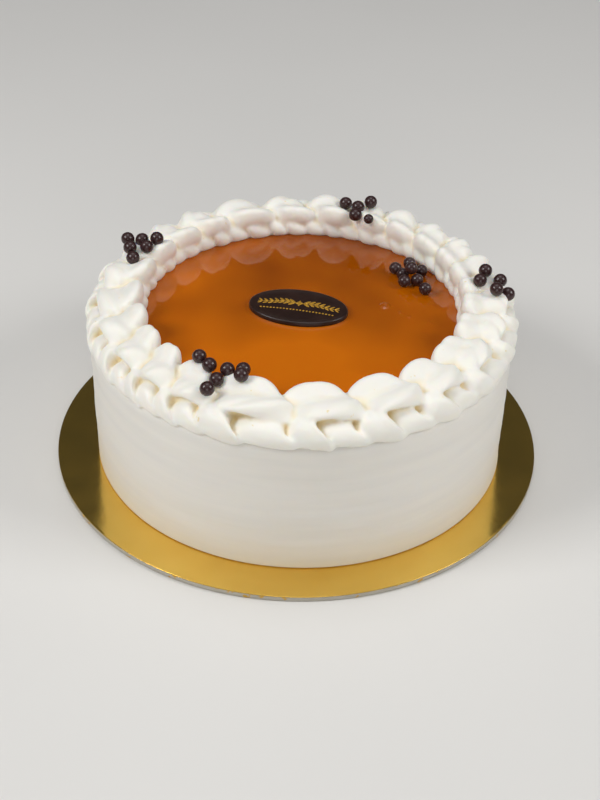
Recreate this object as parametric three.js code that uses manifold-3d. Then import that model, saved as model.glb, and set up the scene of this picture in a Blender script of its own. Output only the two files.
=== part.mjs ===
// A caramel cake on its round foil board: a white frosted drum, a pool of caramel glaze, a border of
// folded piped cream, an oval chocolate plaque and small chocolate pearls. Millimetres, +Z up.
// The origin is the middle of the board's underside.
import * as THREE from 'three';
import { mergeVertices } from 'three/addons/utils/BufferGeometryUtils.js';
import Module from 'manifold-3d';

const wasm = await Module();
wasm.setup();

// ---- Driving sizes -------------------------------------------------------------------------------
const GAP = 0.3;                      // air left between pieces that touch

const BOARD_RADIUS = 120;             // a 24 cm cake board
const BOARD_THICKNESS = 3;
const BOARD_EDGE = 0.4;               // small rounding of the board's cut edge

const CAKE_OFFSET = 1.3;              // the cake stands a little to the right of the board's middle
const CAKE_FOOT_RADIUS = 100.8;       // a 20 cm cake
const CAKE_TOP_RADIUS = 101.9;
const CAKE_TOP = 73.5;                // height of the frosted top above the table
const CAKE_EDGE = 3;                  // rounding of the top edge

const GLAZE_RADIUS = 78;
const GLAZE_TOP = 76;
const GLAZE_EDGE = 0.8;

const PLAQUE_LENGTH = 48.5;
const PLAQUE_WIDTH = 30;
const PLAQUE_THICKNESS = 2.6;
const PLAQUE_BEVEL = 0.6;
const PLAQUE_TURN = -11;              // degrees, its right end nearer the front
const PLAQUE_X = -1.8;
const PLAQUE_Y = 3.8;

const PEARL_RADIUS = 3.3;
const GLAZE_PEARL_RADIUS = 3.1;
const SMALL_PEARL_RADIUS = 2.5;
const PEARL_SINK = 0.7;               // how deep a pearl presses into the cream
const PROBE_RINGS = [0, 0.5, 0.85];   // where the cream is felt under a pearl, in pearl radii
const PROBES = 8;                     // points felt round each of these rings

// Angles round the cake, in degrees, of the creases between the domes at their inner edge.
const CREASES = [-118, -95, -75, -57, -42, -25, -10, 2, 12, 22, 34, 47, 59, 72, 86, 101, 118, 131, 144,
  158, 172, 189, 203, 216, 228];
const FOLD_SEED = 11;

const RADIAL_SEGMENTS = 44;           // facets round the board and the drum
const GLAZE_SEGMENTS = 36;            // facets round the glaze

// ---- Small tools ---------------------------------------------------------------------------------
const TURN = 2 * Math.PI;
const degrees = THREE.MathUtils.degToRad;
const at = (r, z) => new THREE.Vector2(r, z);

function seededDraw(seed) {
  let state = seed;
  return () => {
    state = (state * 1664525 + 1013904223) % 4294967296;
    return state / 4294967296;
  };
}

function material(color, roughness, metalness = 0) {
  return new THREE.MeshStandardMaterial({ color, roughness, metalness });
}

function piece(name, geometry, finish) {
  const mesh = new THREE.Mesh(geometry, finish);
  mesh.name = name;
  return mesh;
}

// A turned solid from a closed half profile that starts and ends on the axis.
function turned(profile, segments = RADIAL_SEGMENTS) {
  const geometry = new THREE.LatheGeometry(profile, segments);
  geometry.rotateX(Math.PI / 2);
  return geometry;
}

function asSolid(geometry) {
  const bare = geometry.clone();
  bare.deleteAttribute('normal');
  bare.deleteAttribute('uv');
  const merged = mergeVertices(bare, 1e-4);
  return new wasm.Manifold(new wasm.Mesh({
    numProp: 3,
    vertProperties: new Float32Array(merged.attributes.position.array),
    triVerts: new Uint32Array(merged.index.array),
  }));
}

function asGeometry(solid) {
  const mesh = solid.getMesh();
  const geometry = new THREE.BufferGeometry();
  geometry.setAttribute('position', new THREE.BufferAttribute(mesh.vertProperties, 3));
  geometry.setIndex(new THREE.BufferAttribute(mesh.triVerts, 1));
  geometry.computeVertexNormals();
  return geometry;
}

// The one outer body of a joined solid, without crumbs and without the bubbles closed off inside it.
function outerBody(solid) {
  const bodies = solid.decompose();
  return bodies.reduce((largest, body) => (body.volume() > largest.volume() ? body : largest));
}

// ---- The board, the drum of cake and the glaze ---------------------------------------------------
function boardGeometry() {
  return turned([
    at(0, 0),
    at(BOARD_RADIUS - BOARD_EDGE, 0),
    at(BOARD_RADIUS, BOARD_EDGE),
    at(BOARD_RADIUS, BOARD_THICKNESS - BOARD_EDGE),
    at(BOARD_RADIUS - BOARD_EDGE, BOARD_THICKNESS),
    at(0, BOARD_THICKNESS),
  ]);
}

function cakeGeometry() {
  const edge = [0, 45, 90].map((angle) => at(
    CAKE_TOP_RADIUS - CAKE_EDGE + CAKE_EDGE * Math.cos(degrees(angle)),
    CAKE_TOP - CAKE_EDGE + CAKE_EDGE * Math.sin(degrees(angle)),
  ));
  const foot = BOARD_THICKNESS + GAP;
  return turned([at(0, foot), at(CAKE_FOOT_RADIUS, foot), ...edge, at(0, CAKE_TOP)]);
}

function glazeGeometry() {
  const under = CAKE_TOP + GAP;
  return turned([
    at(0, under),
    at(GLAZE_RADIUS - GLAZE_EDGE, under),
    at(GLAZE_RADIUS, under + GLAZE_EDGE),
    at(GLAZE_RADIUS, GLAZE_TOP - GLAZE_EDGE),
    at(GLAZE_RADIUS - GLAZE_EDGE, GLAZE_TOP),
    at(0, GLAZE_TOP),
  ], GLAZE_SEGMENTS);
}

// ---- The border of folded cream ------------------------------------------------------------------
// A broad ribbon of cream is folded to and fro along the rim. Each fold swells up between two creases
// and leans over the next one, and its creases run outward a little further round. A ring of folds is
// a closed tube: its section grows from the outline in the creases to the outline on the crests and
// back. Three such rings make the border: the domes on top, the small folds at the glaze, and at the
// side a band of tongues, by turns tall and low, with hollows under the rims of the domes.

// Angle round the cake at which a given number of folds has been piped, from the first crease.
function foldAngle(count) {
  const last = CREASES.length;
  const rounds = Math.floor(count / last);
  const place = count - rounds * last;
  const crease = Math.floor(place);
  const edges = [...CREASES, CREASES[0] + 360];
  const angle = THREE.MathUtils.lerp(edges[crease], edges[crease + 1], place - crease);
  return degrees(angle + 360 * rounds);
}

function foldRing(row) {
  const around = row.crest.length;
  const draw = seededDraw(row.seed);
  const folds = Array.from({ length: CREASES.length * row.each }, (_, index) => ({
    move: row.jitter * (draw() - 0.5),
    swell: (1 - row.swell * draw()) * (index % 2 ? row.lesser : 1),
    lean: 1.3 - 0.6 * draw(),
  }));
  const positions = [];
  for (let i = 0; i < folds.length * row.along; i += 1) {
    const count = Math.floor(i / row.along);
    const fold = folds[count];
    const next = folds[(count + 1) % folds.length];
    const share = (1 - Math.cos(Math.PI * ((i % row.along) / row.along))) / 2;
    const move = fold.move + (next.move - fold.move) * share;
    const across = Math.min(1, Math.abs(2 * share - 1) / row.width);
    for (let j = 0; j < around; j += 1) {
      const v = j / (around - 1);
      const outer = THREE.MathUtils.clamp((v - 0.5) / 0.25, 0, 1);
      const roundTop = (1 - across ** row.power) ** ROUNDING;
      const softTop = Math.cos(across * Math.PI / 2) ** row.flatten;
      const height = THREE.MathUtils.lerp(roundTop, softTop, outer);
      const lean = fold.lean * THREE.MathUtils.lerp(row.lean, row.outerLean, outer);
      const forward = lean * Math.min(1, 2 * v) ** 2 * height;
      const skew = degrees(row.skew) * THREE.MathUtils.clamp((v - 0.35) / 0.45, 0, 1);
      const angle = foldAngle((count + share + move + forward + row.shift) / row.each) + skew;
      const outline = row.crease[j].clone().lerp(row.crest[j], height * fold.swell);
      positions.push(outline.x * Math.cos(angle), outline.x * Math.sin(angle), outline.y);
    }
  }
  return closedTube(positions, folds.length * row.along, around);
}

// A ring-shaped skin through rows of points: columns round the cake, rows round the section.
function closedTube(positions, columns, rows) {
  const index = [];
  for (let i = 0; i < columns; i += 1) {
    const next = (i + 1) % columns;
    for (let j = 0; j < rows; j += 1) {
      const up = (j + 1) % rows;
      const [a, b] = [i * rows + j, next * rows + j];
      const [c, d] = [next * rows + up, i * rows + up];
      index.push(a, d, b, b, d, c);
    }
  }
  const geometry = new THREE.BufferGeometry();
  geometry.setAttribute('position', new THREE.Float32BufferAttribute(positions, 3));
  geometry.setIndex(index);
  return geometry;
}

// Outlines run from the inner foot on the glaze over the top to the outer foot on the rim, clear of
// the drum and the glaze by the gap. A ring has so many folds to each dome; they start some share of a
// fold late, lean by a share of a fold at the inner edge and at the outer one, and run outward by the
// skew, in degrees.
const ROUNDING = 0.48;
const BED = CAKE_TOP + GAP;
const DOMES = {
  seed: FOLD_SEED,
  each: 1,
  shift: -0.06,
  skew: 8,
  lean: 0.26,
  outerLean: -0.3,
  jitter: 0,
  swell: 0.16,
  lesser: 1,
  width: 1,
  power: 2.2,
  flatten: 0.7,
  along: 4,
  crest: [at(82, BED + 0.2), at(75.2, 85), at(76, 91.8), at(79.5, 92.8), at(86, 89.8), at(92.4, 91),
    at(97.2, 90), at(98.6, 87), at(94, 83), at(89, BED + 0.2)],
  crease: [at(84, BED + 0.2), at(82.2, 79), at(82, 82), at(83.8, 83.4), at(86.4, 83.2), at(89.6, 82.4),
    at(92.6, 81.4), at(94.9, 79.4), at(92.5, 76.2), at(90, BED + 0.2)],
};
const INNER_FOLDS = {
  seed: FOLD_SEED + 1,
  each: 2,
  shift: 0.25,
  skew: 2,
  lean: 0.3,
  outerLean: 0.3,
  jitter: 0.3,
  swell: 0.3,
  lesser: 0.75,
  width: 0.95,
  power: 2,
  flatten: 1,
  along: 2,
  crest: [at(80, 76.4), at(75.5, 76.5), at(73.8, 80.5), at(76, 85), at(80.5, 85.5), at(86, BED + 0.1)],
  crease: [at(80, 76.4), at(78.4, 76.6), at(77.6, 78.4), at(79.2, 80.6), at(82.4, 80.5),
    at(86, BED + 0.1)],
};
const TONGUES = {
  seed: FOLD_SEED + 2,
  each: 2,
  shift: 0,
  skew: 5,
  lean: 0.35,
  outerLean: 0.2,
  jitter: 0.3,
  swell: 0.2,
  lesser: 0.6,
  width: 0.9,
  power: 2,
  flatten: 1,
  along: 2,
  crest: [at(88, BED), at(89.4, 81.5), at(94, 86), at(101, 85), at(104.4, 79.4), at(103.8, 74),
    at(102.6, 70.9), at(101.7, 73.2), at(98, BED + 0.1)],
  crease: [at(88, BED), at(90, 75.8), at(95, 76.4), at(100.4, 76), at(102.2, 75.2), at(102.9, 74),
    at(102.6, 72.2), at(101.7, 73.2), at(98, BED + 0.1)],
};

function foldedBorder() {
  const [domes, innerFolds, tongues] = [DOMES, INNER_FOLDS, TONGUES].map((row) => asSolid(foldRing(row)));
  return domes.add(innerFolds).add(tongues);
}

// ---- The plaque and the pearls -------------------------------------------------------------------
function plaqueGeometry() {
  const outline = new THREE.Shape();
  const bevelled = [PLAQUE_LENGTH / 2 - PLAQUE_BEVEL, PLAQUE_WIDTH / 2 - PLAQUE_BEVEL];
  outline.absellipse(0, 0, ...bevelled, 0, TURN, false, degrees(PLAQUE_TURN));
  const geometry = new THREE.ExtrudeGeometry(outline, {
    depth: PLAQUE_THICKNESS - 2 * PLAQUE_BEVEL,
    bevelThickness: PLAQUE_BEVEL,
    bevelSize: PLAQUE_BEVEL,
    bevelSegments: 1,
    curveSegments: 16,
  });
  geometry.translate(PLAQUE_X, PLAQUE_Y, GLAZE_TOP + GAP + PLAQUE_BEVEL);
  return geometry;
}

// Places of the pearls from the cake's axis, by the group that they were dropped in.
const PEARLS = {
  front_left: { radius: PEARL_RADIUS, spots: [
    [-45.2, -62.6], [-40.6, -83.1], [-37, -74.8], [-40.4, -68],
    [-32.4, -69.6], [-26, -76.6], [-25.4, -69.6]] },
  back_left: { radius: PEARL_RADIUS, spots: [
    [-83.4, 26.6], [-72.6, 39.2], [-80.2, 41.4], [-85.4, 33.3], [-77.2, 33.6], [-87.2, 41]] },
  back: { radius: PEARL_RADIUS, spots: [[21.5, 86.4], [34.3, 84], [26.2, 71.8], [27.6, 79]] },
  back_small: { radius: SMALL_PEARL_RADIUS, spots: [[32.8, 67]] },
  right: { radius: PEARL_RADIUS, spots: [
    [88.5, 18.5], [85.5, 11.3], [95.5, 13.7], [98.6, 4.4], [92.4, 0.6]] },
  glaze: { radius: GLAZE_PEARL_RADIUS, spots: [
    [46.2, 39.9], [53.5, 45], [49.6, 34.3], [59.1, 38.1],
    [50.2, 27.8], [56.6, 29.2], [60.2, 21], [53.6, 31.6]] },
};

// Height at which the middle of a dropped pearl comes to rest, on the cream, the glaze or a pearl.
function restingHeight(x, y, radius, cream, others) {
  const probe = new THREE.Raycaster();
  const above = new THREE.Vector3();
  const down = new THREE.Vector3(0, 0, -1);
  let height = GLAZE_TOP + GAP + radius;
  PROBE_RINGS.forEach((share) => {
    const reach = share * radius;
    const rise = radius * Math.sqrt(1 - share ** 2);
    for (let k = 0; k < PROBES; k += 1) {
      const turn = (k / PROBES) * TURN;
      above.set(x + reach * Math.cos(turn), y + reach * Math.sin(turn), 2 * CAKE_TOP);
      probe.set(above, down);
      const hit = probe.intersectObject(cream)[0];
      if (hit) height = Math.max(height, hit.point.z + rise - PEARL_SINK);
    }
  });
  others.forEach((other) => {
    const room = radius + other.radius + GAP;
    const apart = Math.hypot(x - other.x, y - other.y);
    if (apart < room) height = Math.max(height, other.z + Math.sqrt(room ** 2 - apart ** 2));
  });
  return height;
}

function droppedPearls(creamGeometry) {
  const cream = new THREE.Mesh(creamGeometry, new THREE.MeshBasicMaterial({ side: THREE.DoubleSide }));
  const pearls = [];
  Object.entries(PEARLS).forEach(([group, { radius, spots }]) => {
    spots.forEach(([x, y], index) => {
      const z = restingHeight(x, y, radius, cream, pearls);
      pearls.push({ name: `pearl_${group}_${index + 1}`, radius, x, y, z });
    });
  });
  return pearls;
}

// A pearl, or the pearl grown by the air that the cream keeps to it.
function pearlGeometry(pearl, grown = 0) {
  return new THREE.IcosahedronGeometry(pearl.radius + grown, 1);
}

// The cream is pressed in under each pearl that lies on it.
function dimpled(solid, pearls) {
  const presses = pearls.map((pearl) => asSolid(
    pearlGeometry(pearl, GAP).translate(pearl.x, pearl.y, pearl.z),
  ));
  return outerBody(presses.reduce((cream, press) => cream.subtract(press), solid));
}

// ---- The finished cake ---------------------------------------------------------------------------
const plainBorder = foldedBorder();
const pearls = droppedPearls(asGeometry(plainBorder));

const chocolate = material('#2a1613', 0.3);
const cake = new THREE.Group();
cake.position.x = CAKE_OFFSET;
cake.add(piece('cake_body', cakeGeometry(), material('#e6e3de', 0.6)));
cake.add(piece('caramel_glaze', glazeGeometry(), material('#b4620f', 0.12)));
cake.add(piece('cream_border', asGeometry(dimpled(plainBorder, pearls)), material('#f4f1ea', 0.6)));
cake.add(piece('plaque', plaqueGeometry(), material('#24120d', 0.35)));
pearls.forEach((pearl) => {
  const mesh = piece(pearl.name, pearlGeometry(pearl), chocolate);
  mesh.position.set(pearl.x, pearl.y, pearl.z);
  cake.add(mesh);
});

const whole = new THREE.Group();
whole.add(piece('board', boardGeometry(), material('#c9a24a', 0.3, 0.8)));
whole.add(cake);

export default whole;
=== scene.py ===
"""A caramel cake on a round gold foil board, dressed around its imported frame.

Everything is in metres with +Z up. The origin is the middle of the board's underside, and the viewer
stands at -Y. Sizes that come from the model are read from the frame; sizes of the finish are given in
millimetres and turned to metres once, by MM.
"""

import math

import bpy
import numpy as np
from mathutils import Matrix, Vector


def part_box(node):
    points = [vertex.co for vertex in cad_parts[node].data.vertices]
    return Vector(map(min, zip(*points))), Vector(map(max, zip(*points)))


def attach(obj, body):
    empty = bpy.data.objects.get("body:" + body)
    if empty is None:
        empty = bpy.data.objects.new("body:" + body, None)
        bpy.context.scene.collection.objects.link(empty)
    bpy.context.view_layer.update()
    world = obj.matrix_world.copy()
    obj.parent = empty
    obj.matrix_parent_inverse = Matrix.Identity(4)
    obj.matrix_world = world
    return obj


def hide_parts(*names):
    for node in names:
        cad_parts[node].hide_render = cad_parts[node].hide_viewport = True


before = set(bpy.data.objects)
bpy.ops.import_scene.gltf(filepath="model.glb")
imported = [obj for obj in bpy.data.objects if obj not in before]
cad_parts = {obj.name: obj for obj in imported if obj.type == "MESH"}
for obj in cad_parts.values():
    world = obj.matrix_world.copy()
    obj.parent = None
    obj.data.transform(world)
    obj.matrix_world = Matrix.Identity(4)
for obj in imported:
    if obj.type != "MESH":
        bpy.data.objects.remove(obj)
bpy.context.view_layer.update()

bl_info = {
    "name": "Caramel cake on a board",
    "version": (1, 0, 0),
    "blender": (4, 5, 0),
    "location": "3D View > Sidebar > Cake",
    "description": "Makes a frosted caramel cake with piped cream, chocolate pearls and a foil board",
    "category": "Add Mesh",
}

MM = 0.001
BODY = "root"


def node_size(name):
    """Width, depth and height of a node of the frame, in metres."""
    low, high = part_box(name)
    return high - low


def node_middle(name):
    """The middle of a node's box, in metres."""
    low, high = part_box(name)
    return (low + high) / 2


# ---- Sizes and colours that a user would change ---------------------------------------------------
CAKE_AXIS = node_middle("cake_body").xy          # the drum stands a little off the board's middle
BOARD_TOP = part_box("board")[1].z
CAKE_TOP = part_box("cake_body")[1].z
GLAZE_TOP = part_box("caramel_glaze")[1].z
PEARLS = sorted(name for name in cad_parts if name.startswith("pearl_"))


def length_setting(name, description, default):
    return bpy.props.FloatProperty(
        name=name, description=description, default=default, min=0, subtype="DISTANCE", unit="LENGTH"
    )


def angle_setting(name, description, degrees):
    return bpy.props.FloatProperty(
        name=name, description=description, default=math.radians(degrees), subtype="ANGLE", unit="ROTATION"
    )


def colour_setting(name, description, default):
    return bpy.props.StringProperty(name=name, description=description, default=default)


class CakeSizes(bpy.types.PropertyGroup):
    board_radius: length_setting("Board radius", "Half the board's width", node_size("board").x / 2)
    board_thickness: length_setting("Board thickness", "Card and foil together", BOARD_TOP)
    drum_radius: length_setting("Cake radius", "The drum at its top edge", node_size("cake_body").x / 2)
    drum_taper: length_setting("Taper", "How much narrower the drum is at its foot", 1.1 * MM)
    drum_edge: length_setting("Top edge", "Rounding of the drum's top edge", 3 * MM)
    glaze_radius: length_setting("Glaze radius", "The pool of caramel", node_size("caramel_glaze").x / 2)
    plaque_length: length_setting("Plaque length", "The oval plaque from end to end", 48.5 * MM)
    plaque_width: length_setting("Plaque width", "The oval plaque from side to side", 30 * MM)
    plaque_turn: angle_setting("Plaque turn", "How far the plaque is turned", -11)


class CreamBorder(bpy.types.PropertyGroup):
    seed: bpy.props.IntProperty(name="Seed", description="Which uneven border is piped", default=11)
    grain: length_setting("Relief", "Width of the small unevenness of the cream", 4 * MM)
    relief: length_setting("Relief depth", "Depth of the small unevenness of the cream", 0.35 * MM)


class CakeColours(bpy.types.PropertyGroup):
    cream: colour_setting("Piped cream", "Whipped cream in the light", "#F9F5EC")
    # The cream in hollows is painted shade: a warm colour mixed into the cream deep in its folds, where shade
    # falls.
    cream_painted_shade: colour_setting("Cream in hollows", "Whipped cream deep in the folds", "#F0DDAE")
    frosting: colour_setting("Frosting", "The smooth frosting of the drum", "#F2EEE5")
    caramel: colour_setting("Caramel", "The glaze", "#CE6C02")
    # The deep caramel is painted shade: the glaze is darkened toward the back with it, though the pool is no
    # thicker there.
    caramel_painted_shade: colour_setting("Deep caramel", "The glaze where it is thickest", "#8C4200")
    foil: colour_setting("Gold foil", "The board's foil", "#F8D16C")
    card: colour_setting("Card", "The board's cut edge", "#C9C4B8")
    plaque: colour_setting("Plaque", "Dark chocolate, tempered", "#24110A")
    pearl: colour_setting("Pearls", "Dark chocolate, polished", "#2E1A18")
    gilding: colour_setting("Gilding", "The plaque's gold ornament", "#D9A63A")
    floor: colour_setting("Floor", "The plain floor", "#E4E2DE")


class CakeCamera(bpy.types.PropertyGroup):
    distance: length_setting("Distance", "How far the camera stands in front of the origin", 666.5 * MM)
    height: length_setting("Height", "How high the camera stands", 505.75 * MM)
    aside: length_setting("Aside", "How far the camera stands to the right", 1.28 * MM)
    lens: bpy.props.FloatProperty(
        name="Lens", description="Focal length for a 36 mm long side", default=73.98
    )
    tilt: angle_setting("Tilt", "How far the camera looks up from straight down", 54.22)
    roll: angle_setting("Roll", "How far the camera leans to one side", -1.04)
    pan: angle_setting("Pan", "How far the camera is turned to the left", 0.75)


# ---- Small tools ----------------------------------------------------------------------------------
def linear(hex_colour):
    """A linear RGBA colour from an sRGB hex value such as #F8F5EE."""
    parts = [int(hex_colour[i : i + 2], 16) / 255 for i in (1, 3, 5)]
    return tuple(c / 12.92 if c <= 0.04045 else ((c + 0.055) / 1.055) ** 2.4 for c in parts) + (1.0,)


def add_node(tree, kind, settings=None, **inputs):
    """Adds a node, sets its properties, and sets or links its inputs.

    An input is named by its label with _ for a space, or by in_ and its place. A value is a socket to
    link, a number, a vector, or a hex colour.
    """
    made = tree.nodes.new(kind)
    for key, value in (settings or {}).items():
        setattr(made, key, value)
    for key, value in inputs.items():
        socket = made.inputs[int(key[3:]) if key.startswith("in_") else key.replace("_", " ")]
        if isinstance(value, bpy.types.NodeSocket):
            tree.links.new(value, socket)
        elif isinstance(value, str) and value.startswith("#"):
            socket.default_value = linear(value)
        else:
            socket.default_value = value
    return made


def new_material(name, **sockets):
    """A material for one finish, with the shader's own sockets set, and its tree for the patterns."""
    made = bpy.data.materials.new(name)
    made.use_nodes = True
    shader = made.node_tree.nodes["Principled BSDF"]
    for key, value in sockets.items():
        shader.inputs[key.replace("_", " ")].default_value = value
    return made, made.node_tree, shader.inputs


def per_mm(grain):
    """The scale of a pattern on Object coordinates whose grains are that many millimetres wide."""
    return 1 / (grain * MM)


def mesh_object(name, points, faces):
    """A smooth-shaded mesh object at the origin, from points in metres."""
    mesh = bpy.data.meshes.new(name)
    mesh.from_pydata([tuple(point) for point in points], [], [tuple(face) for face in faces])
    mesh.update()
    mesh.polygons.foreach_set("use_smooth", [True] * len(mesh.polygons))
    made = bpy.data.objects.new(name, mesh)
    bpy.context.scene.collection.objects.link(made)
    return made


def grid_faces(columns, rows, close_rows=False):
    """Quads of a surface that closes round its columns; the points run down each column first."""
    faces = []
    for i in range(columns):
        near, far = i * rows, (i + 1) % columns * rows
        for j in range(rows if close_rows else rows - 1):
            up = (j + 1) % rows
            faces.append((near + j, far + j, far + up, near + up))
    return faces


def turned(profile, segments):
    """Points of a turned surface: a column of (radius, height) pairs for each angle round the axis."""
    angles = np.arange(segments) * 2 * math.pi / segments
    profile = np.array(profile, float)
    points = np.empty((segments, len(profile), 3))
    points[:, :, 0] = np.cos(angles)[:, None] * profile[None, :, 0]
    points[:, :, 1] = np.sin(angles)[:, None] * profile[None, :, 0]
    points[:, :, 2] = profile[None, :, 1]
    return points


def capped(name, points, centre):
    """A closed solid from columns of points that run from its underside to its top, round a centre."""
    segments, rows = points.shape[:2]
    poles = [points[:, 0].mean(axis=0), points[:, -1].mean(axis=0)]
    whole = np.vstack([points.reshape(-1, 3), poles]) + np.array([centre[0], centre[1], 0])
    faces = grid_faces(segments, rows)
    under, over = len(whole) - 2, len(whole) - 1
    for i in range(segments):
        following = (i + 1) % segments
        faces.append((i * rows, under, following * rows))
        faces.append((i * rows + rows - 1, following * rows + rows - 1, over))
    return mesh_object(name, whole, faces)


def arc(centre, radius, start, end, steps):
    """Points of an arc in a profile, with its angles in degrees from the outward direction."""
    angles = np.radians(np.linspace(start, end, steps))
    return [(centre[0] + radius * math.cos(t), centre[1] + radius * math.sin(t)) for t in angles]


def uneven(angles, seed, waves):
    """A smoothly uneven ring: the sum of some waves round it, given as {waves: height}."""
    draw = np.random.default_rng(seed)
    total = np.zeros_like(angles)
    for count, height in waves.items():
        total += height * np.sin(count * angles + draw.uniform(0, 2 * math.pi))
    return total


def apply_modifiers(piece):
    """Makes the evaluated piece its plain mesh, and takes its modifiers away."""
    graph = bpy.context.evaluated_depsgraph_get()
    mesh = bpy.data.meshes.new_from_object(piece.evaluated_get(graph))
    old = piece.data
    piece.modifiers.clear()
    piece.data = mesh
    bpy.data.meshes.remove(old)
    mesh.name = piece.name
    return piece


def add_modifier(piece, name, kind, **settings):
    """Adds a modifier and sets its properties."""
    made = piece.modifiers.new(name, kind)
    for key, value in settings.items():
        setattr(made, key, value)
    return made


def geometry_tree(name, **sizes):
    """A Geometry Nodes tree with a geometry input and one named input for each size."""
    tree = bpy.data.node_groups.new(name, "GeometryNodeTree")
    tree.interface.new_socket("Geometry", in_out="INPUT", socket_type="NodeSocketGeometry")
    tree.interface.new_socket("Geometry", in_out="OUTPUT", socket_type="NodeSocketGeometry")
    for label, value in sizes.items():
        kind = {int: "NodeSocketInt", float: "NodeSocketFloat"}.get(type(value), "NodeSocketMaterial")
        tree.interface.new_socket(label.replace("_", " "), in_out="INPUT", socket_type=kind)
    return tree, add_node(tree, "NodeGroupInput"), add_node(tree, "NodeGroupOutput")


def run_tree(piece, tree, **sizes):
    """Puts the tree on the piece, sets its inputs by their identifiers, and keeps the plain result."""
    modifier = add_modifier(piece, tree.name, "NODES", node_group=tree)
    identifiers = {item.name: item.identifier for item in tree.interface.items_tree if item.in_out == "INPUT"}
    for label, value in sizes.items():
        modifier[identifiers[label.replace("_", " ")]] = value
    return apply_modifiers(piece)


def moved_by(tree, noise, geometry, direction, depth):
    """Moves each point of the geometry along its direction by the noise, centred on no move."""
    centred = add_node(tree, "ShaderNodeMath", {"operation": "SUBTRACT"}, in_0=noise.outputs[0], in_1=0.5)
    amount = add_node(
        tree, "ShaderNodeMath", {"operation": "MULTIPLY"}, in_0=centred.outputs[0], in_1=depth
    )
    offset = add_node(
        tree, "ShaderNodeVectorMath", {"operation": "SCALE"}, Vector=direction, Scale=amount.outputs[0]
    )
    return add_node(tree, "GeometryNodeSetPosition", Geometry=geometry, Offset=offset.outputs[0])


def end_tree(tree, last, given, result):
    """Makes what the last node gives real, and gives it its finish."""
    real = add_node(tree, "GeometryNodeRealizeInstances", Geometry=last.outputs[0])
    finished = add_node(
        tree, "GeometryNodeSetMaterial", Geometry=real.outputs[0], Material=given.outputs["Finish"]
    )
    tree.links.new(finished.outputs[0], result.inputs["Geometry"])
    return tree


def dress(piece, material, slot, *nodes):
    """Gives a finished piece its material, its body and the nodes that it stands for."""
    piece.data.materials.clear()
    piece.data.materials.append(material)
    piece.data.polygons.foreach_set("material_index", [0] * len(piece.data.polygons))
    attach(piece, BODY)
    if nodes:
        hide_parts(*nodes)
    return piece


# ---- Finishes -------------------------------------------------------------------------------------
def whipped_cream(colours):
    """Whipped cream, piped. White and soft: light goes a few millimetres in. Deep in the folds its colour is
    mixed toward a warm painted shade.
    """
    made, tree, shader = new_material(
        "whipped_cream_piped", Roughness=0.5, Specular_IOR_Level=0.35, Subsurface_Weight=0.4,
        Subsurface_Radius=(1.0, 0.75, 0.5), Subsurface_Scale=3 * MM,
    )
    place = add_node(tree, "ShaderNodeTexCoord").outputs["Object"]
    # Painted shade: the cream is mixed toward the warm shade colour by how deep it lies in a fold.
    hollow = add_node(tree, "ShaderNodeAttribute", {"attribute_name": "hollow"}).outputs["Fac"]
    deep = add_node(tree, "ShaderNodeMapRange", Value=hollow, From_Min=0.1, From_Max=1.0)
    warm = add_node(
        tree, "ShaderNodeMix", {"data_type": "RGBA"},
        in_0=deep.outputs[0], in_6=colours.cream, in_7=colours.cream_painted_shade,
    )
    fat = add_node(tree, "ShaderNodeTexNoise", Vector=place, Scale=per_mm(3), Detail=1.0)
    spots = add_node(tree, "ShaderNodeMapRange", Value=fat.outputs[0], From_Min=0.76, From_Max=0.82)
    spotted = add_node(
        tree, "ShaderNodeMix", {"data_type": "RGBA"},
        in_0=spots.outputs[0], in_6=warm.outputs[2], in_7="#F1E2BC",
    )
    tree.links.new(spotted.outputs[2], shader["Base Color"])
    foam = add_node(tree, "ShaderNodeTexNoise", Vector=place, Scale=per_mm(1), Detail=3.0)
    soft = add_node(tree, "ShaderNodeBump", Height=foam.outputs[0], Distance=0.1 * MM, Strength=0.5)
    tree.links.new(soft.outputs[0], shader["Normal"])
    return made


def spread_frosting(colours):
    """Whipped cream smoothed with a palette knife: matte, with faint level streaks from the blade."""
    made, tree, shader = new_material(
        "whipped_cream_smoothed", Roughness=0.55, Specular_IOR_Level=0.3, Subsurface_Weight=0.3,
        Subsurface_Radius=(1.0, 0.8, 0.6), Subsurface_Scale=3 * MM,
    )
    place = add_node(tree, "ShaderNodeTexCoord").outputs["Object"]
    level = add_node(tree, "ShaderNodeMapping", Vector=place, Scale=(1, 1, 12))
    streaks = add_node(tree, "ShaderNodeTexNoise", Vector=level.outputs[0], Scale=per_mm(60), Detail=4.0)
    tone = add_node(
        tree, "ShaderNodeMix", {"data_type": "RGBA"},
        in_0=streaks.outputs[0], in_6=colours.frosting, in_7="#E6E3DD",
    )
    tree.links.new(tone.outputs[2], shader["Base Color"])
    foam = add_node(tree, "ShaderNodeTexNoise", Vector=place, Scale=per_mm(1.5), Detail=3.0)
    both = add_node(
        tree, "ShaderNodeMath", {"operation": "MULTIPLY_ADD"},
        in_0=foam.outputs[0], in_1=0.15, in_2=streaks.outputs[0],
    )
    soft = add_node(tree, "ShaderNodeBump", Height=both.outputs[0], Distance=0.25 * MM, Strength=0.5)
    tree.links.new(soft.outputs[0], shader["Normal"])
    return made


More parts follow.
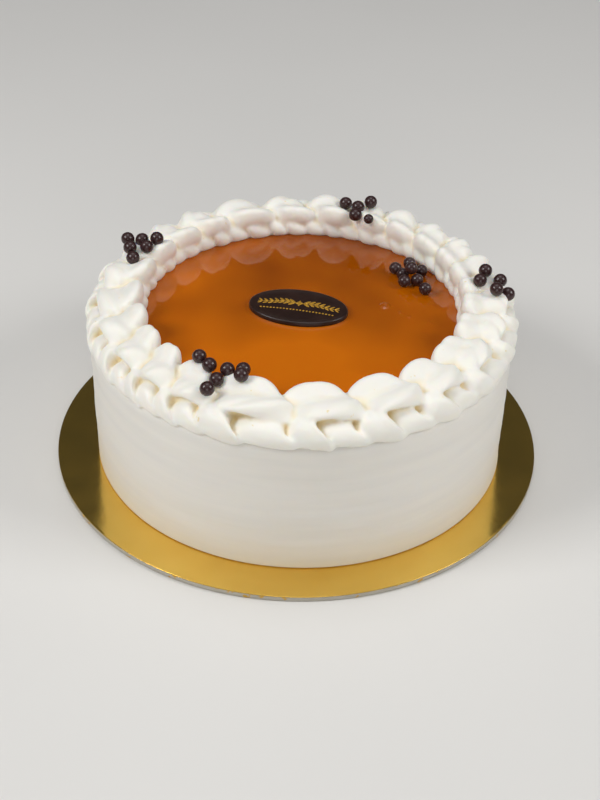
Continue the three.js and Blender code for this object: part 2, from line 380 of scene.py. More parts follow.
def poured_caramel(colours):
    """Caramel glaze, poured. Deep amber and wet, mirror-smooth. Its colour is darkened toward the back as
    painted shade, with a random tone from a broad noise over it; the pool is no thicker there.
    """
    made, tree, shader = new_material(
        "caramel_glaze_poured", Roughness=0.06, IOR=1.48, Subsurface_Weight=0.2,
        Subsurface_Radius=(1.0, 0.35, 0.08), Subsurface_Scale=2 * MM,
    )
    place = add_node(tree, "ShaderNodeTexCoord").outputs["Object"]
    # Painted shade: darker toward the back, by the glaze's y, with the pool noise's random tone over it.
    pool = add_node(tree, "ShaderNodeTexNoise", Vector=place, Scale=per_mm(75), Detail=2.0)
    across = add_node(tree, "ShaderNodeSeparateXYZ", Vector=place)
    behind = add_node(
        tree, "ShaderNodeMath", {"operation": "MULTIPLY_ADD"},
        in_0=across.outputs["Y"], in_1=3.5, in_2=pool.outputs[0],
    )
    shade_toward_back = add_node(tree, "ShaderNodeMapRange", Value=behind.outputs[0], From_Min=0.3, From_Max=0.72)
    tone = add_node(
        tree, "ShaderNodeMix", {"data_type": "RGBA"},
        in_0=shade_toward_back.outputs[0], in_6=colours.caramel, in_7=colours.caramel_painted_shade,
    )
    tree.links.new(tone.outputs[2], shader["Base Color"])
    swell = add_node(tree, "ShaderNodeTexNoise", Vector=place, Scale=per_mm(22), Detail=1.0)
    wet = add_node(tree, "ShaderNodeBump", Height=swell.outputs[0], Distance=0.15 * MM, Strength=0.3)
    tree.links.new(wet.outputs[0], shader["Normal"])
    return made


def gold_foil(colours):
    """Gold foil pressed on card: a warm metal mirror, softened by the card's grain and by rubbing."""
    made, tree, shader = new_material("gold_foil_on_card", Metallic=1.0)
    place = add_node(tree, "ShaderNodeTexCoord").outputs["Object"]
    rubbed = add_node(tree, "ShaderNodeTexNoise", Vector=place, Scale=per_mm(14), Detail=4.0)
    tone = add_node(
        tree, "ShaderNodeMix", {"data_type": "RGBA"},
        in_0=rubbed.outputs[0], in_6=colours.foil, in_7="#EFC45E",
    )
    tree.links.new(tone.outputs[2], shader["Base Color"])
    rough = add_node(tree, "ShaderNodeMapRange", Value=rubbed.outputs[0], To_Min=0.1, To_Max=0.24)
    tree.links.new(rough.outputs[0], shader["Roughness"])
    grain = add_node(tree, "ShaderNodeTexNoise", Vector=place, Scale=per_mm(3), Detail=3.0)
    pressed = add_node(tree, "ShaderNodeBump", Height=grain.outputs[0], Distance=0.05 * MM, Strength=0.5)
    tree.links.new(pressed.outputs[0], shader["Normal"])
    return made


def cut_card(colours):
    """Greyboard, die-cut: pale, fibrous and in thin layers, with a nick of foil here and there."""
    made, tree, shader = new_material("greyboard_die_cut", Roughness=0.75)
    place = add_node(tree, "ShaderNodeTexCoord").outputs["Object"]
    level = add_node(tree, "ShaderNodeMapping", Vector=place, Scale=(1, 1, 12))
    layers = add_node(tree, "ShaderNodeTexNoise", Vector=level.outputs[0], Scale=per_mm(6), Detail=3.0)
    tone = add_node(
        tree, "ShaderNodeMix", {"data_type": "RGBA"},
        in_0=layers.outputs[0], in_6=colours.card, in_7="#A39C8E",
    )
    torn = add_node(tree, "ShaderNodeTexNoise", Vector=place, Scale=per_mm(5), Detail=2.0)
    nicks = add_node(tree, "ShaderNodeMapRange", Value=torn.outputs[0], From_Min=0.62, From_Max=0.66)
    nicked = add_node(
        tree, "ShaderNodeMix", {"data_type": "RGBA"},
        in_0=nicks.outputs[0], in_6=tone.outputs[2], in_7="#C79A3C",
    )
    tree.links.new(nicked.outputs[2], shader["Base Color"])
    rough = add_node(tree, "ShaderNodeBump", Height=layers.outputs[0], Distance=0.1 * MM, Strength=0.6)
    tree.links.new(rough.outputs[0], shader["Normal"])
    return made


def cast_chocolate(colours):
    """Dark chocolate cast in a flat mould: satin, almost black, with a faint bloom."""
    made, tree, shader = new_material("dark_chocolate_cast")
    place = add_node(tree, "ShaderNodeTexCoord").outputs["Object"]
    bloom = add_node(tree, "ShaderNodeTexNoise", Vector=place, Scale=per_mm(7), Detail=4.0)
    pale = add_node(tree, "ShaderNodeMapRange", Value=bloom.outputs[0], From_Min=0.45, From_Max=0.8)
    tone = add_node(
        tree, "ShaderNodeMix", {"data_type": "RGBA"},
        in_0=pale.outputs[0], in_6=colours.plaque, in_7="#301A12",
    )
    tree.links.new(tone.outputs[2], shader["Base Color"])
    rough = add_node(tree, "ShaderNodeMapRange", Value=bloom.outputs[0], To_Min=0.24, To_Max=0.4)
    tree.links.new(rough.outputs[0], shader["Roughness"])
    grain = add_node(tree, "ShaderNodeTexNoise", Vector=place, Scale=per_mm(1.2), Detail=3.0)
    satin = add_node(tree, "ShaderNodeBump", Height=grain.outputs[0], Distance=0.03 * MM, Strength=0.5)
    tree.links.new(satin.outputs[0], shader["Normal"])
    return made


def panned_chocolate(colours):
    """Dark chocolate pearls, panned and polished: brown-black, semi-gloss, not quite even."""
    made, tree, shader = new_material("dark_chocolate_panned")
    place = add_node(tree, "ShaderNodeTexCoord").outputs["Object"]
    coat = add_node(tree, "ShaderNodeTexNoise", Vector=place, Scale=per_mm(3), Detail=3.0)
    tone = add_node(
        tree, "ShaderNodeMix", {"data_type": "RGBA"},
        in_0=coat.outputs[0], in_6=colours.pearl, in_7="#3F2627",
    )
    tree.links.new(tone.outputs[2], shader["Base Color"])
    rough = add_node(tree, "ShaderNodeMapRange", Value=coat.outputs[0], To_Min=0.2, To_Max=0.34)
    tree.links.new(rough.outputs[0], shader["Roughness"])
    grain = add_node(tree, "ShaderNodeTexNoise", Vector=place, Scale=per_mm(1.1), Detail=2.0)
    panned = add_node(tree, "ShaderNodeBump", Height=grain.outputs[0], Distance=0.05 * MM, Strength=0.5)
    tree.links.new(panned.outputs[0], shader["Normal"])
    return made


def transfer_gold(colours):
    """Gold-coloured transfer print: a thin half-metallic film on the chocolate."""
    made, tree, shader = new_material("gold_transfer_print", Metallic=0.6, Roughness=0.4)
    place = add_node(tree, "ShaderNodeTexCoord").outputs["Object"]
    worn = add_node(tree, "ShaderNodeTexNoise", Vector=place, Scale=per_mm(0.8), Detail=3.0)
    thin = add_node(tree, "ShaderNodeMapRange", Value=worn.outputs[0], From_Min=0.5, From_Max=0.75)
    tone = add_node(
        tree, "ShaderNodeMix", {"data_type": "RGBA"},
        in_0=thin.outputs[0], in_6=colours.gilding, in_7="#A87A25",
    )
    tree.links.new(tone.outputs[2], shader["Base Color"])
    return made


def painted_table(colours):
    """A plain pale table top, painted matte."""
    made, tree, shader = new_material("matte_painted_table", Roughness=0.7)
    place = add_node(tree, "ShaderNodeTexCoord").outputs["Object"]
    broad = add_node(tree, "ShaderNodeTexNoise", Vector=place, Scale=per_mm(200), Detail=2.0)
    tone = add_node(
        tree, "ShaderNodeMix", {"data_type": "RGBA"},
        in_0=broad.outputs[0], in_6=colours.floor, in_7="#DFDDD9",
    )
    tree.links.new(tone.outputs[2], shader["Base Color"])
    return made


# ---- Camera and stage -----------------------------------------------------------------------------
FLOOR_REACH = 4.0                     # half the side of the floor, in metres
SOFTBOXES = (                         # name, place and width in metres, power in watts
    ("softbox_left", (-0.95, -0.35, 1.0), 0.5, 8.5),
    ("softbox_right", (1.0, -0.25, 0.9), 0.5, 6.3),
    ("softbox_over", (0.0, 0.3, 1.5), 0.6, 2.6),
    ("softbox_front", (0.1, -1.5, 0.5), 0.8, 4.4),
)


class CAKE_OT_camera(bpy.types.Operator):
    """Stands the camera at the photo's viewing angle"""

    bl_idname = "cake.camera"
    bl_label = "Camera"

    def execute(self, context):
        view = context.scene.cake_camera
        made = bpy.data.objects.new("camera", bpy.data.cameras.new("camera"))
        context.scene.collection.objects.link(made)
        made.data.sensor_width = 36
        made.data.lens = view.lens
        made.data.clip_start = 10 * MM
        made.location = (view.aside, -view.distance, view.height)
        made.rotation_euler = (view.tilt, view.roll, view.pan)
        context.scene.camera = made
        return {"FINISHED"}


class CAKE_OT_stage(bpy.types.Operator):
    """Adds the plain pale floor and the soft studio light"""

    bl_idname = "cake.stage"
    bl_label = "Floor and light"

    def execute(self, context):
        scene = context.scene
        corners = [(FLOOR_REACH * x, FLOOR_REACH * y, 0) for x, y in ((-1, -1), (1, -1), (1, 1), (-1, 1))]
        floor = mesh_object("floor", corners, [(0, 1, 2, 3)])
        floor.data.materials.append(painted_table(scene.cake_colours))
        middle = Vector((0, 0, CAKE_TOP / 2))
        for name, place, width, power in SOFTBOXES:
            lamp = bpy.data.lights.new(name, "AREA")
            lamp.size = width
            lamp.energy = power
            made = bpy.data.objects.new(name, lamp)
            scene.collection.objects.link(made)
            made.location = place
            made.rotation_euler = (middle - made.location).to_track_quat("-Z", "Y").to_euler()
        world = bpy.data.worlds.new("studio")
        world.use_nodes = True
        scene.world = world
        tree = world.node_tree
        sky = add_node(tree, "ShaderNodeTexCoord").outputs["Generated"]
        height = add_node(tree, "ShaderNodeSeparateXYZ", Vector=sky)
        overhead = add_node(
            tree, "ShaderNodeMapRange", {"interpolation_type": "SMOOTHSTEP"},
            Value=height.outputs["Z"], From_Min=0.62, From_Max=0.95, To_Min=0.07, To_Max=0.6,
        )
        tree.nodes["Background"].inputs["Color"].default_value = linear("#F1F2F4")
        tree.links.new(overhead.outputs[0], tree.nodes["Background"].inputs["Strength"])
        scene.view_settings.view_transform = "Standard"
        return {"FINISHED"}


# ---- Board ----------------------------------------------------------------------------------------
FOIL = 0.15 * MM                      # thicker than real foil, so that its edge shows as a line


class CAKE_OT_board(bpy.types.Operator):
    """Adds the round card board with its gold foil"""

    bl_idname = "cake.board"
    bl_label = "Foil board"

    def execute(self, context):
        sizes, colours = context.scene.cake_sizes, context.scene.cake_colours
        radius, top = sizes.board_radius, sizes.board_thickness
        segments = 256
        edge = ((0.5 * MM, 0), (0.15 * MM, 0.25 * MM), (0.1 * MM, top * 0.35), (0.12 * MM, top * 0.7))
        core = turned([(radius - inset, z) for inset, z in (*edge, (0.2 * MM, top - FOIL))], segments)
        angles = np.arange(segments) * 2 * math.pi / segments
        core[:, :, :2] *= (1 + uneven(angles, 3, {47: 1.5e-4, 71: 1.5e-4, 113: 2e-4}))[:, None, None]
        card = capped("board_card", core, (0, 0))
        low, high = top - FOIL, top
        lip = [(radius - 0.05 * MM, low - 0.3 * MM), (radius, low), (radius - 0.08 * MM, high - 0.03 * MM)]
        rings = [(radius * share, high) for share in (0.998, 0.99, 0.9, 0.75, 0.6, 0.3)]
        under = [(radius - 1.5 * MM, low), (radius - 0.2 * MM, low - 0.02 * MM)]
        skin = turned(under + lip + rings, segments)
        ripple = uneven(angles, 5, {9: 0.05 * MM, 14: 0.04 * MM, 31: 0.03 * MM})
        fading = np.linspace(0.6, 0, len(rings))
        skin[:, -len(rings) :, 2] += ripple[:, None] * fading[None, :] - 0.05 * MM
        foil = capped("board_foil", skin, (0, 0))
        dress(card, cut_card(colours), None, "board")
        dress(foil, gold_foil(colours), "gold_foil", "board")
        return {"FINISHED"}


# ---- Drum of cake ---------------------------------------------------------------------------------
class CAKE_OT_drum(bpy.types.Operator):
    """Adds the frosted drum of cake"""

    bl_idname = "cake.drum"
    bl_label = "Frosted drum"

    def execute(self, context):
        sizes, colours = context.scene.cake_sizes, context.scene.cake_colours
        segments = 320
        radius, edge = sizes.drum_radius, sizes.drum_edge
        foot = sizes.board_thickness + 0.05 * MM
        foot_radius = radius - sizes.drum_taper
        foot_edge = 0.8 * MM
        side_top = CAKE_TOP - edge
        side = [(foot_radius - foot_edge, foot)]
        side += arc((foot_radius - foot_edge, foot + foot_edge), foot_edge, -60, 0, 4)
        heights = np.linspace(foot + 2 * MM, side_top, 34)
        lean = sizes.drum_taper * (heights - foot) / (side_top - foot)
        side += [(foot_radius + out, z) for out, z in zip(lean, heights)]
        top = arc((radius - edge, side_top), edge, 15, 90, 6)
        top += [(radius * share, CAKE_TOP) for share in (0.9, 0.7, 0.3)]
        points = turned(side + top, segments)
        angles = np.arange(segments) * 2 * math.pi / segments
        level = points[:, :, 2] / CAKE_TOP
        sway = uneven(angles, 21, {2: 0.25, 3: 0.2, 5: 0.15, 8: 0.08})[:, None]
        knife = uneven(level * 2 * math.pi, 22, {2: 0.12, 5: 0.07, 9: 0.05})
        drift = uneven(angles[:, None] * 3 + level * 5, 23, {1: 0.1, 4: 0.06})
        outward = (1 - (1 - level) ** 12) * (sway + knife + drift) * MM
        points[:, : len(side), :2] *= (1 + outward[:, : len(side)] / radius)[:, :, None]
        drum = capped("cake_frosted_drum", points, CAKE_AXIS)
        dress(drum, spread_frosting(colours), "cream_frosting", "cake_body")
        return {"FINISHED"}


# ---- Caramel glaze --------------------------------------------------------------------------------
GLAZE_BUBBLES = (                     # x, y, radius and height in mm, from the cake's axis
    (40.3, 9.8, 2.3, 0.7),
    (47.4, 3.8, 0.8, 0.35),
    (51.6, 0.4, 0.9, 0.4),
    (61.5, -4.4, 0.8, 0.3),
    (-2.8, 55.0, 0.6, 0.2),
    (66.9, -18.9, 0.7, 0.3),
)
GLAZE_EDGE = 0.8 * MM                 # rounding of the pool's rim
MENISCUS = 0.7 * MM                   # how far the caramel climbs what stands in it
MENISCUS_REACH = 1.6 * MM
PEARL_FOOT = 1.6 * MM                 # radius of a sunken pearl where the caramel meets it
PEARL_REACH = 1.1 * MM


class CAKE_OT_glaze(bpy.types.Operator):
    """Pours the caramel glaze"""

    bl_idname = "cake.glaze"
    bl_label = "Caramel glaze"

    def execute(self, context):
        sizes, colours = context.scene.cake_sizes, context.scene.cake_colours
        segments, rings = 420, 170
        radius, under = sizes.glaze_radius, CAKE_TOP - 0.1 * MM
        rim = [(radius * 0.5, under), (radius, under)]
        rim += arc((radius - GLAZE_EDGE, GLAZE_TOP - GLAZE_EDGE), GLAZE_EDGE, 0, 90, 5)
        top = [(r, GLAZE_TOP) for r in np.linspace(radius - 1.5 * GLAZE_EDGE, GLAZE_EDGE / 2, rings)]
        points = turned(rim + top, segments)
        x, y = points[:, :, 0], points[:, :, 1]
        lift = MENISCUS * np.exp(-(radius - np.hypot(x, y)) / (2 * MENISCUS_REACH))
        plaque = plaque_distance(sizes, x, y)
        lift += MENISCUS * np.exp(-np.maximum(plaque, 0) / MENISCUS_REACH) * (plaque > -3 * MM)
        for name in PEARLS:
            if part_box(name)[0].z < GLAZE_TOP + 1 * MM:      # it lies in the caramel
                middle = node_middle(name).xy - CAKE_AXIS
                away = np.hypot(x - middle.x, y - middle.y)
                beyond = np.maximum(away - PEARL_FOOT, 0)
                lift += 1.3 * MENISCUS * np.exp(-(beyond / PEARL_REACH) ** 1.5)
        for bubble_x, bubble_y, size, height in GLAZE_BUBBLES:
            away = np.hypot(x - bubble_x * MM, y - bubble_y * MM) / (size * MM)
            lift += height * MM * (np.exp(-((away - 0.75) / 0.3) ** 2) + 0.45 * np.exp(-((away / 0.35) ** 2)))
        points[:, len(rim) :, 2] += lift[:, len(rim) :]
        pool = capped("caramel_glaze_pool", points, CAKE_AXIS)
        dress(pool, poured_caramel(colours), "caramel", "caramel_glaze")
        return {"FINISHED"}


# ---- Border of folded cream -----------------------------------------------------------------------
# A broad ribbon of cream is folded to and fro along the rim. Each fold swells up between two creases
# and leans over the next one, and its creases run outward a little further round. A ring of folds is a
# closed tube whose section grows from its outline in the creases to its outline on the crests and back.
# Three rings make the ribbon: the domes, the small inner folds on the glaze, and the outer tongues.
#
# seed, jitter, swell, lesser    which draws; how much places and heights vary; height of each second fold
# each, shift                    folds for each pair of creases, and how far round the ring is moved, in folds
# skew                           how far the outer ends of the creases run round, in degrees
# lean, outer_lean               how far a fold leans over the next one, inside and outside, in folds
# width, power, flatten          width of a fold in its place, and how full its section is along the rim
# flutes, flute, frill           small grooves on each fold: how many, how deep, and how much deeper outside
# along, around                  steps along a fold and around the section
# crest, crease                  the outlines: (radius, height) in mm from the inner foot over the top
BED = CAKE_TOP / MM + 0.15
CREASES = (
    -118, -95, -75, -57, -42, -25, -10, 2, 12, 22, 34, 47, 59, 72, 86, 101, 118, 131, 144, 158, 172, 189, 203,
    216, 228,
)                                     # degrees round the cake, at the inner edge
DOMES = {
    "seed": 0, "each": 1, "shift": -0.06, "skew": 8, "lean": 0.26, "outer_lean": -0.3, "jitter": 0,
    "swell": 0.16, "lesser": 1, "width": 1.0, "power": 2.2, "along": 48, "around": 64, "flatten": 0.7,
    "flutes": 2, "flute": 0.06, "frill": 0.12,
    "crest": [(82, BED), (75.2, 85), (76, 91.8), (79.5, 92.8), (86, 89.8), (92.4, 91), (97.2, 90), (98.6, 87),
              (94, 83), (89, BED)],
    "crease": [(84, BED), (82.2, 79), (82, 82), (83.8, 83.4), (86.4, 83.2), (89.6, 82.4), (92.6, 81.4),
               (94.9, 79.4), (92.5, 76.2), (90, BED)],
}
INNER_FOLDS = {
    "seed": 1, "each": 2, "shift": 0.25, "skew": 2, "lean": 0.3, "outer_lean": 0.3, "jitter": 0.3,
    "swell": 0.3, "lesser": 0.75, "width": 0.95, "power": 2, "along": 26, "around": 32, "flatten": 1.0,
    "flutes": 2, "flute": 0.02, "frill": 0,
    "crest": [(80, 75.8), (75.5, 75.8), (73.8, 80.5), (76, 85), (80.5, 85.5), (86, BED)],
    "crease": [(80, 75.8), (78, 75.9), (77.6, 78.2), (79.2, 80.6), (82.4, 80.5), (86, BED)],
}
TONGUES = {
    "seed": 2, "each": 2, "shift": 0, "skew": 5, "lean": 0.35, "outer_lean": 0.2, "jitter": 0.3,
    "swell": 0.2, "lesser": 0.6, "width": 0.9, "power": 2, "along": 36, "around": 48, "flatten": 1.0,
    "flutes": 2, "flute": 0.08, "frill": 0.08,
    "crest": [(88, BED), (89.4, 81.5), (94, 86), (101, 85), (104.4, 79.4), (103.8, 74), (102.6, 70.9),
              (100.5, 72), (98, BED)],
    "crease": [(88, BED), (89.8, 77.8), (94.7, 78.4), (99.6, 77.2), (101.8, 76), (102.6, 74.8), (102.3, 73.4),
               (100.5, 73.6), (98, BED)],
}
ROUNDING = 0.48                       # how round a fold's top is: half a circle at 0.5
VOXEL = 0.9 * MM                      # grain of the joined cream


def seeded_draw(seed):
    """The same draws as the model's: a small generator that gives numbers from 0 to 1."""
    state = seed
    while True:
        state = (state * 1664525 + 1013904223) % 4294967296
        yield state / 4294967296


def spline(points, shares):
    """A smooth curve through the points, at each share of the way along them."""
    points = np.array(points, float)
    last = len(points) - 1
    place = np.asarray(shares) * last
    start = np.minimum(np.floor(place).astype(int), last - 1)
    t = (place - start)[:, None]
    before, here, there, after = (points[np.clip(start + k, 0, last)] for k in (-1, 0, 1, 2))
    out, into = (there - before) / 2, (after - here) / 2
    return (
        (2 * here - 2 * there + out + into) * t**3
        + (-3 * here + 3 * there - 2 * out - into) * t**2
        + out * t
        + here
    )


def fold_angle(count):
    """The angle, in radians, of a place that is counted in folds from the first crease."""
    folds = len(CREASES)
    edges = np.array([*CREASES, CREASES[0] + 360, CREASES[1] + 360], float)
    rounds = np.floor(count / folds)
    return np.radians(np.interp(count - rounds * folds, np.arange(folds + 2), edges) + 360 * rounds)


def fold_ring(border, row):
    """The points of one ring of folds, in mm: columns round the cake, rows round the section."""
    folds, along = len(CREASES) * row["each"], row["along"]
    draw = seeded_draw(border.seed + row["seed"])
    moves, swells, leans = [], [], []
    for index in range(folds):
        moves.append(row["jitter"] * (next(draw) - 0.5))
        swells.append((1 - row["swell"] * next(draw)) * (row["lesser"] if index % 2 else 1))
        leans.append(1.3 - 0.6 * next(draw))
    # each column's fold, and its share of the way across it
    column = np.arange(folds * along)
    fold = column // along
    share = (1 - np.cos(math.pi * (column % along) / along)) / 2
    moves, swells = np.array(moves), np.array(swells)[fold]
    leans = np.array(leans)[fold][:, None]
    flutes = np.random.default_rng(row["seed"]).uniform(0, 2, folds)[fold][:, None]
    move = moves[fold] + (moves[(fold + 1) % folds] - moves[fold]) * share
    # each row's share of the way round the section, and how far outside it is
    v = np.linspace(0, 1, row["around"])[None, :]
    outer = np.clip((v - 0.5) / 0.25, 0, 1)
    # how high the fold stands: round inside, softer outside
    across = np.abs(2 * share[:, None] - 1) / row["width"]
    round_top = np.maximum(0, 1 - across ** row["power"]) ** ROUNDING
    soft_top = np.cos(np.minimum(across, 1) * math.pi / 2) ** row["flatten"]
    height = round_top + (soft_top - round_top) * outer
    # where it stands: it leans over the next fold, and its creases run round as they run out
    lean = row["lean"] + (row["outer_lean"] - row["lean"]) * outer
    forward = leans * lean * np.minimum(1, 2 * v) ** 2 * height
    count = ((fold + share + move)[:, None] + forward + row["shift"]) / row["each"]
    turn = fold_angle(count) + math.radians(row["skew"]) * np.clip((v - 0.35) / 0.45, 0, 1)
    # its outline there, less the flutes
    crest = spline(row["crest"], v[0])
    crease = spline(row["crease"], v[0])
    flute = flutes * (row["flute"] + row["frill"] * outer)
    fluted = 1 - flute * (1 - np.abs(np.sin(math.pi * (row["flutes"] * share[:, None] + 0.4 * v))))
    grown = (height * swells[:, None] * fluted)[:, :, None]
    outline = crease[None] * (1 - grown) + crest[None] * grown
    radius, level = outline[:, :, 0], outline[:, :, 1]
    return np.stack([radius * np.cos(turn), radius * np.sin(turn), level], axis=2)


def mark_hollows(mesh, reach, depth):
    """Stores how deep each point lies below its surroundings, from 0 to 1, as the attribute hollow, the mask
    of the cream's painted shade in its folds.
    """
    points = np.zeros(len(mesh.vertices) * 3)
    mesh.vertices.foreach_get("co", points)
    points = points.reshape(-1, 3)
    normals = np.zeros(len(mesh.vertices) * 3)
    mesh.vertices.foreach_get("normal", normals)
    edges = np.zeros(len(mesh.edges) * 2, int)
    mesh.edges.foreach_get("vertices", edges)
    ends = np.concatenate([edges[0::2], edges[1::2]])
    others = np.concatenate([edges[1::2], edges[0::2]])
    neighbours = np.bincount(ends, minlength=len(points))

    def beside(values):
        """The mean of the values of each point's neighbours."""
        return np.bincount(ends, values[others], minlength=len(points)) / neighbours

    smooth = points.copy()
    for _ in range(reach):
        smooth = np.stack([beside(smooth[:, k]) for k in range(3)], axis=1)
    below = ((smooth - points) * normals.reshape(-1, 3)).sum(axis=1)
    hollow = np.clip(below / depth, 0, 1)
    for _ in range(4):
        hollow = (hollow + beside(hollow)) / 2
    attribute = mesh.attributes.new("hollow", "FLOAT", "POINT")
    attribute.data.foreach_set("value", hollow.astype(np.float32))


def relief_tree():
    """Moves each point along its normal by a smooth noise: the small unevenness of whipped cream."""
    tree, given, result = geometry_tree("cream_relief", Grain=0.0, Depth=0.0, Seed=0.0, Finish=None)
    place = add_node(tree, "GeometryNodeInputPosition")
    normal = add_node(tree, "GeometryNodeInputNormal").outputs[0]
    scale = add_node(tree, "ShaderNodeMath", {"operation": "DIVIDE"}, in_0=1.0, in_1=given.outputs["Grain"])
    noise = add_node(
        tree, "ShaderNodeTexNoise", {"noise_dimensions": "4D"},
        Vector=place.outputs[0], W=given.outputs["Seed"], Scale=scale.outputs[0], Detail=1.5,
    )
    moved = moved_by(tree, noise, given.outputs["Geometry"], normal, given.outputs["Depth"])
    return end_tree(tree, moved, given, result)


class CAKE_OT_border(bpy.types.Operator):
    """Pipes the border of folded cream"""

    bl_idname = "cake.border"
    bl_label = "Cream border"

    def execute(self, context):
        border, colours = context.scene.cake_border, context.scene.cake_colours
        points, faces = [], []
        for row in (DOMES, INNER_FOLDS, TONGUES):
            ring = fold_ring(border, row)
            first = sum(len(part) for part in points)
            for face in grid_faces(ring.shape[0], ring.shape[1], close_rows=True):
                faces.append([first + index for index in reversed(face)])
            points.append(ring.reshape(-1, 3) * MM + np.array([CAKE_AXIS.x, CAKE_AXIS.y, 0]))
        cream = mesh_object("cream_border_folds", np.vstack(points), faces)
        add_modifier(cream, "join", "REMESH", mode="VOXEL", voxel_size=VOXEL, use_smooth_shade=True)
        add_modifier(cream, "soften", "SMOOTH", factor=0.5, iterations=2)
        apply_modifiers(cream)
        finish = whipped_cream(colours)
        run_tree(
            cream, relief_tree(),
            Grain=border.grain, Depth=border.relief, Seed=float(border.seed), Finish=finish,
        )
        # The mask for the cream's painted shade in its folds.
        mark_hollows(cream.data, reach=30, depth=1.6 * MM)
        dress(cream, finish, "piped_cream", "cream_border")
        return {"FINISHED"}


# ---- Plaque ---------------------------------------------------------------------------------------
# The plaque's section in mm: how far in from the oval, and how far up from its foot or down from its top.
PLAQUE_FOOT = ((1.0, 0), (0.3, 0.1), (0, 0.5))
PLAQUE_TOP = (
    (0, 1.1), (0.12, 0.95), (0.12, 0.55), (0.35, 0.15), (0.8, 0), (1.3, 0), (1.7, 0.12), (5, 0.14), (11, 0.14)
)
PLAQUE_FIELD = 0.12 * MM              # how far the field lies below the raised rim
PLAQUE_SUNK = 0.3 * MM                # how far it has sunk into the glaze
LEAF_PAIRS = 7                        # on each of the ornament's two sprigs
LEAF_STEP = 2.55 * MM
LEAF_SPREAD = 1.1 * MM                # from the stem to the middle of a leaf
DOTS = 23                             # in the row under the sprigs
DOT_STEP = 1.6 * MM
DOT = 0.56 * MM                       # half a dot's width


def plaque_distance(sizes, x, y):
    """Roughly how far a point lies outside the plaque's oval, from the cake's axis; negative inside."""
    middle = node_middle("plaque").xy - CAKE_AXIS
    turn = sizes.plaque_turn
    along = (x - middle.x) * math.cos(turn) + (y - middle.y) * math.sin(turn)
    across = -(x - middle.x) * math.sin(turn) + (y - middle.y) * math.cos(turn)
    a, b = sizes.plaque_length / 2, sizes.plaque_width / 2
    level = np.hypot(along / a, across / b)
    slope = np.hypot(along / a**2, across / b**2) / np.maximum(level, 1e-6)
    return (level - 1) / np.maximum(slope, 1e-6)


def on_plaque(sizes, along, across):
    """The x and y of a place on the turned plaque, from its middle."""
    turn = sizes.plaque_turn
    return (
        along * math.cos(turn) - across * math.sin(turn),
        along * math.sin(turn) + across * math.cos(turn),
    )


def oval(sizes, profile, segments):
    """Points of an oval solid from (inset, height) pairs: each ring is the oval drawn in by its inset."""
    angles = np.arange(segments) * 2 * math.pi / segments
    inset = np.array([pair[0] for pair in profile])
    height = np.array([pair[1] for pair in profile])
    along = np.cos(angles)[:, None] * (sizes.plaque_length / 2 - inset)[None]
    across = np.sin(angles)[:, None] * (sizes.plaque_width / 2 - inset)[None]
    x, y = on_plaque(sizes, along, across)
    return np.stack([x, y, np.broadcast_to(height, along.shape)], axis=2)


GRAIN_ATTRIBUTES = ("turn", "stretch")


def scatter_tree(name):
    """Sets one rounded grain on each point, turned by the point's turn and drawn out by its stretch."""
    tree, given, result = geometry_tree(name, Sides=0, Unevenness=0.0, Finish=None)
    half = add_node(tree, "ShaderNodeMath", {"operation": "DIVIDE"}, in_0=given.outputs["Sides"], in_1=2.0)
    ball = add_node(
        tree, "GeometryNodeMeshUVSphere", Segments=given.outputs["Sides"], Rings=half.outputs[0], Radius=1.0
    )
    place = add_node(tree, "GeometryNodeInputPosition")
    noise = add_node(tree, "ShaderNodeTexNoise", Vector=place.outputs[0], Scale=1.2, Detail=1.0)
    grain = moved_by(tree, noise, ball.outputs[0], place.outputs[0], given.outputs["Unevenness"])
    smooth = add_node(tree, "GeometryNodeSetShadeSmooth", Geometry=grain.outputs[0])
    turn, stretch = (
        add_node(tree, "GeometryNodeInputNamedAttribute", {"data_type": "FLOAT_VECTOR"}, Name=label)
        for label in GRAIN_ATTRIBUTES
    )
    placed = add_node(
        tree, "GeometryNodeInstanceOnPoints",
        Points=given.outputs["Geometry"], Instance=smooth.outputs[0],
        Rotation=turn.outputs[0], Scale=stretch.outputs[0],
    )
    return end_tree(tree, placed, given, result)


def scattered(name, places, turns, stretches, finish, sides, unevenness=0.0):
    """One mesh of rounded grains at the given places, each with its turn and its half sizes."""
    piece = mesh_object(name, places, [])
    for label, values in zip(GRAIN_ATTRIBUTES, (turns, stretches)):
        attribute = piece.data.attributes.new(label, "FLOAT_VECTOR", "POINT")
        attribute.data.foreach_set("vector", np.array(values, np.float32).ravel())
    tree = scatter_tree(name + "_scatter")
    return run_tree(piece, tree, Sides=sides, Unevenness=unevenness, Finish=finish)


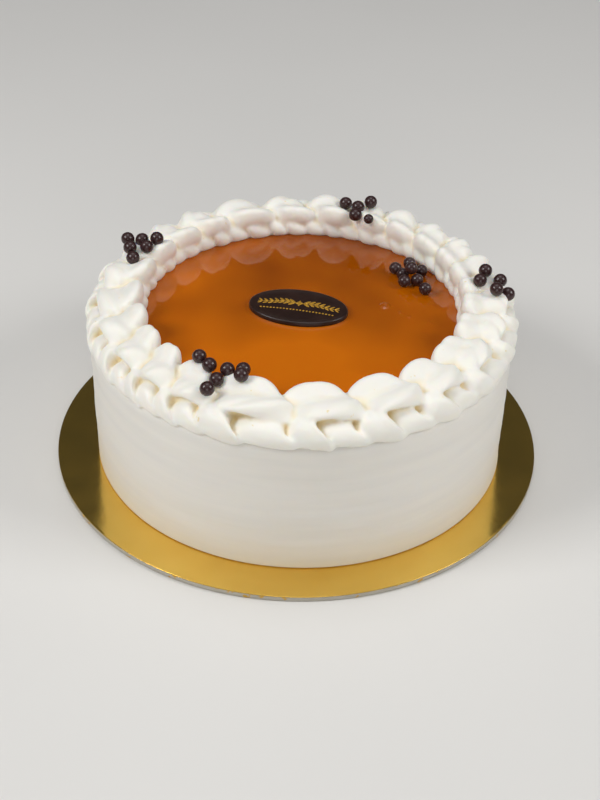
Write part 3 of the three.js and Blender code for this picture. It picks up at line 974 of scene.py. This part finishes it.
class CAKE_OT_plaque(bpy.types.Operator):
    """Lays the oval chocolate plaque with its gold ornament"""

    bl_idname = "cake.plaque"
    bl_label = "Chocolate plaque"

    def execute(self, context):
        sizes, colours = context.scene.cake_sizes, context.scene.cake_colours
        low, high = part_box("plaque")
        middle = node_middle("plaque")
        profile = [(inset * MM, low.z - PLAQUE_SUNK + up * MM) for inset, up in PLAQUE_FOOT]
        profile += [(inset * MM, high.z - down * MM) for inset, down in PLAQUE_TOP]
        plate = capped("plaque_oval", oval(sizes, profile, 128), middle)
        dress(plate, cast_chocolate(colours), "plaque_chocolate", "plaque")
        places, turns, stretches = [], [], []

        def grain(along, across, aslant, half_length, half_width):
            """Puts down one flat drop of gold, at a place on the plaque."""
            x, y = on_plaque(sizes, along, across)
            places.append((middle.x + x, middle.y + y, high.z - PLAQUE_FIELD))
            turns.append((0, 0, sizes.plaque_turn + aslant))
            stretches.append((half_length, half_width, 0.12 * MM))

        for side in (-1, 1):
            for step in range(LEAF_PAIRS):
                along = side * (3.6 * MM + LEAF_STEP * step)
                stem = (2.6 - 0.05 * step**2 + 0.5 * math.sin(step)) * MM
                leaf = (2.1 - 0.12 * step) * MM
                grain(along, stem + LEAF_SPREAD, side * 0.7, leaf, 0.36 * leaf)
                grain(along, stem - LEAF_SPREAD, side * -0.7, leaf, 0.36 * leaf)
                grain(along, stem, side * -0.1, 1.4 * MM, 0.22 * MM)
        for aslant, ray in ((0, 2.5), (90, 2.5), (45, 1.6), (-45, 1.6)):
            grain(0, 2.4 * MM, math.radians(aslant), ray * MM, 0.6 * MM)
        for step in range(DOTS):
            place = step - DOTS // 2
            grain(place * DOT_STEP, (-3.6 - 0.008 * place**2) * MM, 0, DOT, DOT)
        gold = transfer_gold(colours)
        ornament = scattered("plaque_ornament", places, turns, stretches, gold, sides=12)
        dress(ornament, gold, "plaque_chocolate")
        return {"FINISHED"}


# ---- Pearls ---------------------------------------------------------------------------------------
class CAKE_OT_pearls(bpy.types.Operator):
    """Drops the chocolate pearls where the frame has them"""

    bl_idname = "cake.pearls"
    bl_label = "Chocolate pearls"

    def execute(self, context):
        colours = context.scene.cake_colours
        draw = np.random.default_rng(7)
        places = [node_middle(name) for name in PEARLS]
        radii = [node_size(name).z / 2 for name in PEARLS]
        turns = draw.uniform(0, 2 * math.pi, (len(PEARLS), 3))
        stretches = [radius * draw.uniform(0.99, 1.03, 3) for radius in radii]
        finish = panned_chocolate(colours)
        pearls = scattered("chocolate_pearls", places, turns, stretches, finish, sides=28, unevenness=0.05)
        dress(pearls, finish, "pearl_chocolate", *PEARLS)
        return {"FINISHED"}


# ---- Panel and registration -----------------------------------------------------------------------
STEPS = ("camera", "stage", "board", "drum", "glaze", "border", "plaque", "pearls")
GROUPS = {
    "cake_sizes": CakeSizes,
    "cake_border": CreamBorder,
    "cake_colours": CakeColours,
    "cake_camera": CakeCamera,
}


class CAKE_PT_panel(bpy.types.Panel):
    """Lists the pieces of the cake and their sizes"""

    bl_label = "Caramel cake"
    bl_idname = "CAKE_PT_panel"
    bl_space_type = "VIEW_3D"
    bl_region_type = "UI"
    bl_category = "Cake"

    def draw(self, context):
        for step in STEPS:
            self.layout.operator(f"cake.{step}")
        for name, kind in GROUPS.items():
            box = self.layout.box()
            for setting in kind.__annotations__:
                box.prop(getattr(context.scene, name), setting)


CLASSES = (
    *GROUPS.values(),
    CAKE_OT_camera,
    CAKE_OT_stage,
    CAKE_OT_board,
    CAKE_OT_drum,
    CAKE_OT_glaze,
    CAKE_OT_border,
    CAKE_OT_plaque,
    CAKE_OT_pearls,
    CAKE_PT_panel,
)


def register():
    for item in CLASSES:
        bpy.utils.register_class(item)
    for name, group in GROUPS.items():
        setattr(bpy.types.Scene, name, bpy.props.PointerProperty(type=group))


def unregister():
    for name in GROUPS:
        delattr(bpy.types.Scene, name)
    for item in reversed(CLASSES):
        bpy.utils.unregister_class(item)


def main():
    register()
    for step in STEPS:
        getattr(bpy.ops.cake, step)()


if __name__ == "__main__":
    main()
